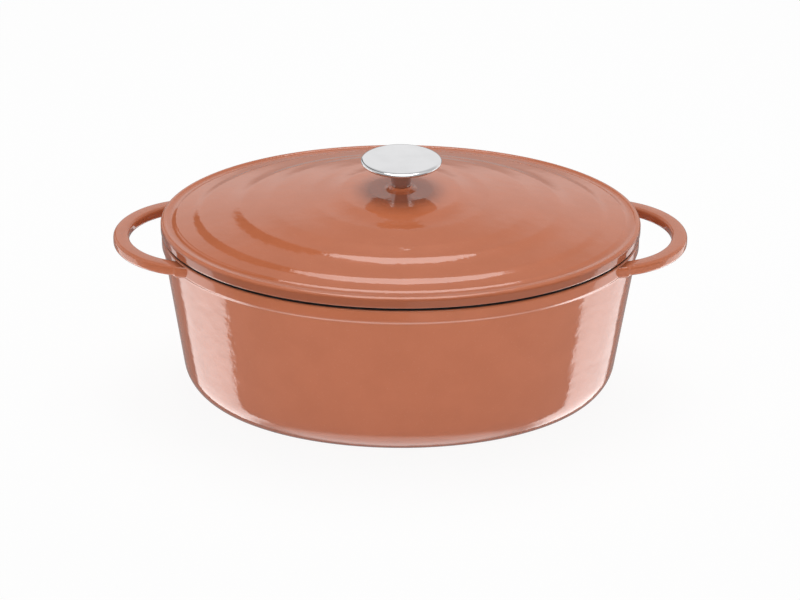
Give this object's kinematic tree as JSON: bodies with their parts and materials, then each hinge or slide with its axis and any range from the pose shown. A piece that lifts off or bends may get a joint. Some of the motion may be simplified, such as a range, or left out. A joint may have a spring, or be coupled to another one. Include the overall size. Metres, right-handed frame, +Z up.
{
  "type": "oval cast iron casserole",
  "caption": "Oval enamelled cast iron cooking pot with two loop handles and a rippled domed lid that carries a round steel knob.",
  "frame": {"origin": "centre of the pot's flat base, on the surface it stands on", "axes": "+X along the long axis through both handles, +Y across the pot, +Z up towards the knob"},
  "size_m": [0.3954, 0.26, 0.1734],
  "materials": {
    "enamel": "glossy salmon orange enamel over cast iron, cream inside",
    "polished_steel": "mirror polished stainless steel",
    "zinc_steel": "zinc plated steel"
  },
  "bodies": {
    "root": {"pot": "enamel", "lid": "enamel", "knob": "polished_steel", "knob_screw": "zinc_steel", "knob_washer": "zinc_steel"}
  },
  "joints": []
}
